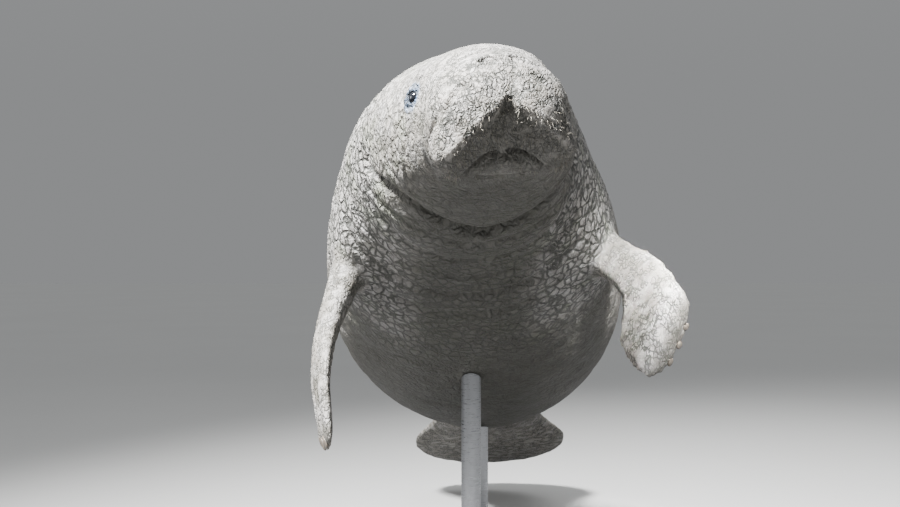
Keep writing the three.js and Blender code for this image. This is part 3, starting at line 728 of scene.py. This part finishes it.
def makeHide(v):
    t = Tree("manatee_hide", v["mid"], v["roughness"])
    place = t.add("TexCoord").outputs["Object"]
    wander = t.add("TexNoise", {"Vector": place, "Scale": 52.0, "Detail": 3.0}).outputs["Color"]
    wander = t.add("VectorMath", {0: wander, 1: (0.5, 0.5, 0.5)}, operation="SUBTRACT").outputs[0]
    wander = t.add("VectorMath", {0: wander, "Scale": 0.017}, operation="SCALE").outputs[0]
    bent = t.add("VectorMath", {0: place, 1: wander}, operation="ADD").outputs[0]
    isCobble = t.attribute("cobble").outputs["Fac"]
    isFine = t.attribute("fine").outputs["Fac"]

    def net(scale, stretch, wide, gaps):  # round-topped plateaus between broken cracks: height, line
        at = t.add("Mapping", {"Vector": bent, "Scale": stretch}).outputs[0]
        edge = t.add("TexVoronoi", {"Vector": at, "Scale": scale}, feature="DISTANCE_TO_EDGE").outputs["Distance"]
        broken = t.add("TexNoise", {"Vector": place, "Scale": scale * 0.4, "Detail": 2.0}).outputs["Fac"]
        broken = t.ramp(broken, gaps, gaps + 0.14)
        line = t.maths("MULTIPLY", t.ramp(edge, wide, wide * 0.2), broken)
        dent = t.maths("MULTIPLY", t.ramp(edge, 0.24, 0.0), t.maths("ADD", t.maths("MULTIPLY", broken, 0.75), 0.25))
        return t.maths("SUBTRACT", 1.0, dent), line

    cobbleHigh, cobbleLine = net(53.0, (0.95, 1.25, 0.90), 0.22, 0.22)
    slimHigh, slimLine = net(116.0, (1.35, 0.95, 0.70), 0.22, 0.38)
    fineHigh, fineLine = net(190.0, (1.1, 1.0, 0.8), 0.24, 0.42)
    pores = t.add("TexNoise", {"Vector": place, "Scale": 700.0, "Detail": 3.0}).outputs["Fac"]
    cobbleHigh = t.maths("MULTIPLY", cobbleHigh, t.maths("MULTIPLY", isCobble, v["cobbleTall"]))
    slimHigh = t.maths("MULTIPLY", slimHigh, t.maths("SUBTRACT", v["slimTall"], t.maths("MULTIPLY", isCobble, 0.3)))
    fineHigh = t.maths("MULTIPLY", fineHigh, t.maths("ADD", t.maths("MULTIPLY", isFine, v["fineTall"]), 0.12))
    high = t.maths("ADD", t.maths("ADD", cobbleHigh, slimHigh), t.maths("ADD", fineHigh, t.maths("MULTIPLY", pores, 0.16)))
    rolls = t.add("TexNoise", {"Vector": place, "Scale": 34.0, "Detail": 2.0}).outputs["Fac"]
    high = t.maths("ADD", high, t.maths("MULTIPLY", rolls, v["rollTall"]))
    bump = t.add("Bump", {"Height": high, "Strength": 1.0, "Distance": 0.001})
    t.to("Normal", bump.outputs["Normal"])
    # colour: grey mottling, pale spots of wear with painted light on the top, the neck's sides and the flipper ridge,
    # dark lines in the wrinkles and folds as painted shade, a trace of weed, and painted shade on the underside
    patches = t.add("TexNoise", {"Vector": place, "Scale": 6.0, "Detail": 6.0, "Roughness": 0.6}).outputs["Fac"]
    colour = t.mix(t.ramp(patches, 0.36, 0.62), v["dark"], v["mid"])
    tops = t.add("TexNoise", {"Vector": place, "Scale": 30.0, "Detail": 4.0, "Roughness": 0.6}).outputs["Fac"]
    # crown: paler on the top, the neck's sides and the flipper ridge, painted light added to the random pale spots
    crown = t.attribute("crown").outputs["Fac"]
    wornAndLit = t.maths("ADD", t.maths("MULTIPLY", t.ramp(tops, 0.42, 0.66), 0.45), t.maths("MULTIPLY", crown, 0.5), clamp=True)
    colour = t.mix(wornAndLit, colour, v["pale"])
    weed = t.add("TexNoise", {"Vector": place, "Scale": 13.0, "Detail": 4.0, "Roughness": 0.6}).outputs["Fac"]
    weed = t.maths("MULTIPLY", t.ramp(weed, 0.50, 0.64), t.maths("MULTIPLY", isCobble, 0.42))
    colour = t.mix(weed, colour, v["weed"])
    colour = t.mix(t.maths("MULTIPLY", t.attribute("lip").outputs["Fac"], 0.6), colour, v["lip"])
    # painted shade on the underside, the muzzle's disc and the flipper past its fold
    colour = t.mix(t.maths("MULTIPLY", t.attribute("under").outputs["Fac"], 0.85), colour, v["under"])
    eyeRound = t.attribute("eyeRound").outputs["Fac"]
    colour = t.mix(t.maths("MULTIPLY", t.ramp(eyeRound, 0.0, 0.45), 0.85), colour, v["eyeSkin"])
    colour = t.mix(t.maths("MULTIPLY", t.ramp(eyeRound, 0.55, 0.95), 0.85), colour, v["eyeRim"])
    # dark lines in the wrinkle cracks and folds, painted shade in them
    lines = t.maths("MULTIPLY", cobbleLine, t.maths("MULTIPLY", isCobble, 0.90))
    slimShare = t.maths("SUBTRACT", 0.92, t.maths("MULTIPLY", isCobble, 0.42))
    slimShare = t.maths("SUBTRACT", slimShare, t.maths("MULTIPLY", t.attribute("paddle").outputs["Fac"], 0.15))
    lines = t.maths("MAXIMUM", lines, t.maths("MULTIPLY", slimLine, slimShare))
    lines = t.maths("MAXIMUM", lines, t.maths("MULTIPLY", fineLine, t.maths("ADD", t.maths("MULTIPLY", isFine, 0.55), 0.1)))
    lines = t.maths("MAXIMUM", lines, t.maths("MULTIPLY", t.attribute("creaseShade").outputs["Fac"], 0.75))
    lines = t.maths("MULTIPLY", lines, t.maths("SUBTRACT", 1.0, t.maths("MULTIPLY", t.attribute("under").outputs["Fac"], 0.45)))
    colour = t.mix(t.maths("MINIMUM", lines, 0.92), colour, v["crack"])
    t.to("Base Color", colour)
    rough = t.add("MapRange", {"Value": patches, "From Min": 0.3, "From Max": 0.7, "To Min": 0.46, "To Max": 0.64})
    t.to("Roughness", rough.outputs["Result"])
    return t.material


skin.data.materials.append(makeHide(hideValues))
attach(skin, "root")
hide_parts(*skinValues["flesh"])
print("skin finished")

# Bristles of the muzzle: short, stiff and sparse, joined in one mesh
bristleValues = {
    "count": 340, "seed": 11, "ahead": 0.1, "onPad": 0.35, "onChin": 0.3, "shortest": 0.005, "longest": 0.011, "thick": 0.0004, "lean": 0.55, "stray": 0.35,
    "pale": (0.46, 0.43, 0.36), "tip": (0.28, 0.25, 0.20), "roughness": 0.5,
}


def bristleRoots(v, random):  # spots thrown at the muzzle from ahead, so the order of the faces doesn't matter
    count = len(skin.data.polygons)
    centres = np.zeros(count * 3)
    normals = np.zeros(count * 3)
    skin.data.polygons.foreach_get("center", centres)
    skin.data.polygons.foreach_get("normal", normals)
    centres, normals = centres.reshape(-1, 3), normals.reshape(-1, 3)
    straight = straightOf(centres)
    share, overRim = discOf(straight)
    inDisc = (share > 0.08) & (share < 0.86)
    onPad = (straight[:, 0] < 0.075) & (overRim > 0) & (overRim < 26)
    onChin = (straight[:, 0] < 0.14) & (share > 1.15) & (np.abs(straight[:, 1]) < 0.05) & (straight[:, 2] > -0.135)
    weight = np.maximum.reduce([inDisc * 1.0, onPad * v["onPad"], onChin * v["onChin"]])
    muzzle = np.nonzero(straight[:, 0] < 0.16)[0]
    tree = treeOf(straight[muzzle] * np.array([v["ahead"], 1, 1]))
    picked = []
    while len(picked) < v["count"]:
        spot = (0, random.uniform(-0.10, 0.11), random.uniform(-0.14, 0.06))
        nearest = muzzle[tree.find(spot)[1]]
        if random.uniform() < weight[nearest] and nearest not in picked:
            picked.append(nearest)
    return centres[picked], normals[picked], straight[picked]


def makeBristles(v):
    random = np.random.default_rng(v["seed"])
    points, faces, patches = [], [], []
    for root, out, flat in zip(*bristleRoots(v, random)):
        way = out + np.array([0, 0, -v["lean"]]) + random.normal(0, v["stray"], 3)
        way /= np.linalg.norm(way)
        if way.dot(out) < 0.3:
            way = out
        sideways = np.cross(way, out + np.array([0.3, 0.1, 0.2]))
        sideways /= np.linalg.norm(sideways)
        upward = np.cross(way, sideways)
        length = random.uniform(v["shortest"], v["longest"])
        start = len(points)
        for share in (-0.15, 0.45, 0.8):
            middle = root + way * length * share + np.array([0, 0, -0.12 * length * share**2])
            thick = v["thick"] * (1 - max(share, 0)) ** 0.6
            for k in range(3):
                turn = 2 * math.pi * k / 3
                points.append(middle + (sideways * math.cos(turn) + upward * math.sin(turn)) * thick)
        points.append(root + way * length + np.array([0, 0, -0.12 * length]))
        patch = (0.5 + math.atan2(flat[1], 0.12 - flat[0]) / 4, 0.5 + math.atan2(flat[2], 0.12 - flat[0]) / 4)
        for ring in range(2):
            for k in range(3):
                a, b = start + ring * 3 + k, start + ring * 3 + (k + 1) % 3
                faces.append((a, b, b + 3, a + 3))
                patches += [(patch[0] + 0.001 * (k + dx), patch[1] + 0.001 * (ring + dy)) for dx, dy in ((0, 0), (1, 0), (1, 1), (0, 1))]
        for k in range(3):
            faces.append((start + 6 + k, start + 6 + (k + 1) % 3, start + 9))
            patches += [(patch[0] + 0.001 * (k + dx), patch[1] + 0.001 * (2 + dy)) for dx, dy in ((0, 0), (1, 0), (0.5, 1))]
        faces.append((start + 2, start + 1, start))
        patches += [(patch[0] + 0.001 * dx, patch[1] + 0.001 * dy) for dx, dy in ((0.5, 3), (1.5, 3), (1, 2))]
    mesh = bpy.data.meshes.new("muzzle_bristles")
    mesh.from_pydata([tuple(p) for p in points], [], faces)
    mesh.uv_layers.new(name="OFBake").data.foreach_set("uv", np.array(patches).ravel())
    piece = bpy.data.objects.new("muzzle_bristles", mesh)
    bpy.context.collection.objects.link(piece)
    makeActive(piece)
    bpy.ops.object.mode_set(mode="EDIT")
    bpy.ops.mesh.select_all(action="SELECT")
    bpy.ops.mesh.normals_make_consistent(inside=False)
    bpy.ops.object.mode_set(mode="OBJECT")
    bpy.ops.object.shade_smooth()
    t = Tree("bristle_horn", v["pale"], v["roughness"])
    place = t.add("TexCoord").outputs["Object"]
    shade = t.add("TexNoise", {"Vector": place, "Scale": 90.0, "Detail": 2.0}).outputs["Fac"]
    t.to("Base Color", t.mix(t.ramp(shade, 0.35, 0.65), v["tip"], v["pale"]))
    mesh.materials.append(t.material)
    return piece


bristles = makeBristles(bristleValues)
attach(bristles, "root")
print("bristles made")

# Eyeballs, dark and wet
ballValues = {"dark": (0.003, 0.004, 0.006), "iris": (0.012, 0.013, 0.017), "roughness": 0.05}


def makeEyeMaterial(v):
    t = Tree("wet_eye", v["dark"], v["roughness"])
    place = t.add("TexCoord").outputs["Object"]
    speckle = t.add("TexNoise", {"Vector": place, "Scale": 420.0, "Detail": 4.0}).outputs["Fac"]
    t.to("Base Color", t.mix(t.ramp(speckle, 0.40, 0.70), v["dark"], v["iris"]))
    t.shader.inputs["Coat Weight"].default_value = 1.0
    t.shader.inputs["Coat Roughness"].default_value = 0.03
    return t.material


wetEye = makeEyeMaterial(ballValues)
for side, centre in eyePlaces.items():
    deselectAll()
    bpy.ops.mesh.primitive_uv_sphere_add(segments=40, ring_count=24, radius=eyeValues["radius"], location=centre)
    ball = bpy.context.object
    ball.name = "eyeball_" + side
    bpy.ops.object.transform_apply(location=True, rotation=True, scale=True)
    bpy.ops.object.shade_smooth()
    ball.data.materials.append(wetEye)
    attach(ball, "root")
    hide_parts("eye_" + side)
print("eyes made")

# Nails: the CAD ones rounded off
nailValues = {"pale": (0.20, 0.17, 0.135), "root": (0.095, 0.08, 0.065), "roughness": 0.42}


def makeHorn(v):
    t = Tree("nail_horn", v["pale"], v["roughness"])
    place = t.add("TexCoord").outputs["Object"]
    growth = t.add("TexNoise", {"Vector": place, "Scale": 190.0, "Detail": 5.0, "Distortion": 0.8}).outputs["Fac"]
    t.to("Base Color", t.mix(t.ramp(growth, 0.35, 0.68), v["root"], v["pale"]))
    bump = t.add("Bump", {"Height": growth, "Strength": 0.6, "Distance": 0.0006})
    t.to("Normal", bump.outputs["Normal"])
    return t.material


horn = makeHorn(nailValues)
for side in ("left", "right"):
    for k in (1, 2, 3):
        nail = mergedCopy(["nail_%s_%d" % (side, k)], "nail_horn_%s_%d" % (side, k))
        applyModifier(nail, "SUBSURF", levels=2, render_levels=2)
        bpy.ops.object.shade_smooth()
        nail.data.materials.append(horn)
        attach(nail, "root")
        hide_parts("nail_%s_%d" % (side, k))
print("nails made")

# The stand keeps its CAD shapes and gets paint and brushed steel
standValues = {"paint": (0.022, 0.023, 0.026), "wear": (0.075, 0.072, 0.068), "steel": (0.52, 0.53, 0.55)}


def makePaint(v):
    t = Tree("stand_paint", v["paint"], 0.5)
    place = t.add("TexCoord").outputs["Object"]
    grain = t.add("Mapping", {"Vector": place, "Scale": (26.0, 1.6, 26.0)}).outputs[0]
    grain = t.add("TexNoise", {"Vector": grain, "Scale": 3.0, "Detail": 8.0, "Roughness": 0.6}).outputs["Fac"]
    dust = t.add("TexNoise", {"Vector": place, "Scale": 5.0, "Detail": 6.0}).outputs["Fac"]
    t.to("Base Color", t.mix(t.maths("MULTIPLY", t.ramp(dust, 0.45, 0.75), 0.5), v["paint"], v["wear"]))
    rough = t.add("MapRange", {"Value": dust, "From Min": 0.3, "From Max": 0.7, "To Min": 0.36, "To Max": 0.6})
    t.to("Roughness", rough.outputs["Result"])
    bump = t.add("Bump", {"Height": grain, "Strength": 0.5, "Distance": 0.0008})
    t.to("Normal", bump.outputs["Normal"])
    return t.material


def makeSteel(v):
    t = Tree("stand_steel", v["steel"], 0.3)
    t.shader.inputs["Metallic"].default_value = 1.0
    place = t.add("TexCoord").outputs["Object"]
    brush = t.add("Mapping", {"Vector": place, "Scale": (40.0, 40.0, 900.0)}).outputs[0]
    brush = t.add("TexNoise", {"Vector": brush, "Scale": 1.0, "Detail": 3.0}).outputs["Fac"]
    rough = t.add("MapRange", {"Value": brush, "From Min": 0.3, "From Max": 0.7, "To Min": 0.24, "To Max": 0.42})
    t.to("Roughness", rough.outputs["Result"])
    bump = t.add("Bump", {"Height": brush, "Strength": 0.3, "Distance": 0.0002})
    t.to("Normal", bump.outputs["Normal"])
    return t.material


def dress(name, material):
    piece = nodes[name]
    if not piece.material_slots:
        piece.data.materials.append(None)
    for slot in piece.material_slots:
        slot.link = "OBJECT"
        slot.material = material


paint = makePaint(standValues)
steel = makeSteel(standValues)
dress("stand_base", paint)
for name in ("stand_foot_front", "stand_foot_rear", "stand_rod_front", "stand_rod_rear"):
    dress(name, steel)
print("stand dressed")

# Floor, lights and camera
studioValues = {
    "lens": 44, "cameraAt": (-0.0618, -2.6864, 0.881), "floor": 60, "lookAt": (0.05, -0.65, 0.95),
    "keyAt": (-1.75, -1.9, 4.2), "keySize": 0.8, "key": 250, "keySpread": 70,
    "sideAt": (0.4, -2.8, 2.6), "sideLooks": (0.45, -0.39, 0.74), "sideSize": 0.2, "side": 8, "sideSpread": 9,
    "fillAt": (-3.2, -0.9, 1.9), "fillSize": 1.2, "fill": 30,
    "backAt": (1.2, 2.6, 3.0), "backSize": 2.0, "back": 30,
    "skyLow": (0.27, 0.275, 0.28), "skyHigh": (0.48, 0.49, 0.50), "floorPale": (0.66, 0.66, 0.65), "floorDull": (0.62, 0.62, 0.61),
    "floorBounce": (0.20, 0.20, 0.20),
}


def makeFloor(v):
    deselectAll()
    bpy.ops.mesh.primitive_plane_add(size=v["floor"])
    floor = bpy.context.object
    floor.name = "studio_floor"
    t = Tree("pale_floor", (0.78, 0.78, 0.77), 1.0)
    place = t.add("TexCoord").outputs["Object"]
    cloud = t.add("TexNoise", {"Vector": place, "Scale": 0.8, "Detail": 5.0}).outputs["Fac"]
    seen = t.add("LightPath").outputs["Is Camera Ray"]  # the floor throws less light up than it shows
    t.to("Base Color", t.mix(seen, v["floorBounce"], t.mix(cloud, v["floorDull"], v["floorPale"])))
    t.shader.inputs["Specular IOR Level"].default_value = 0.0
    floor.data.materials.append(t.material)


def makeLight(at, target, size, energy, spread=180):
    deselectAll()
    bpy.ops.object.light_add(type="AREA", location=at)
    lamp = bpy.context.object
    lamp.data.size = size
    lamp.data.energy = energy
    lamp.data.spread = math.radians(spread)
    lamp.rotation_euler = (Vector(target) - Vector(at)).to_track_quat("-Z", "Y").to_euler()


def makeSky(v):  # dim at the horizon, where it meets the floor, and bright overhead
    world = bpy.data.worlds.new("studio")
    world.use_nodes = True
    tree = world.node_tree
    way = tree.nodes.new("ShaderNodeTexCoord")
    split = tree.nodes.new("ShaderNodeSeparateXYZ")
    ramp = tree.nodes.new("ShaderNodeMapRange")
    ramp.interpolation_type = "SMOOTHSTEP"
    ramp.inputs["From Min"].default_value = 0.12
    ramp.inputs["From Max"].default_value = 0.85
    mix = tree.nodes.new("ShaderNodeMix")
    mix.data_type = "RGBA"
    mix.inputs[6].default_value = (*v["skyLow"], 1)
    mix.inputs[7].default_value = (*v["skyHigh"], 1)
    tree.links.new(way.outputs["Generated"], split.inputs["Vector"])
    tree.links.new(split.outputs["Z"], ramp.inputs["Value"])
    tree.links.new(ramp.outputs["Result"], mix.inputs[0])
    tree.links.new(mix.outputs[2], tree.nodes["Background"].inputs["Color"])
    bpy.context.scene.world = world


def makeStudio(v):
    makeFloor(v)
    makeLight(v["keyAt"], v["lookAt"], v["keySize"], v["key"], v["keySpread"])
    makeLight(v["sideAt"], v["sideLooks"], v["sideSize"], v["side"], v["sideSpread"])
    makeLight(v["fillAt"], v["lookAt"], v["fillSize"], v["fill"])
    makeLight(v["backAt"], v["lookAt"], v["backSize"], v["back"])
    makeSky(v)
    bpy.ops.object.camera_add(location=v["cameraAt"], rotation=(math.radians(90), 0, 0))
    camera = bpy.context.object
    camera.data.lens = v["lens"]
    bpy.context.scene.camera = camera


makeStudio(studioValues)
print("studio set")
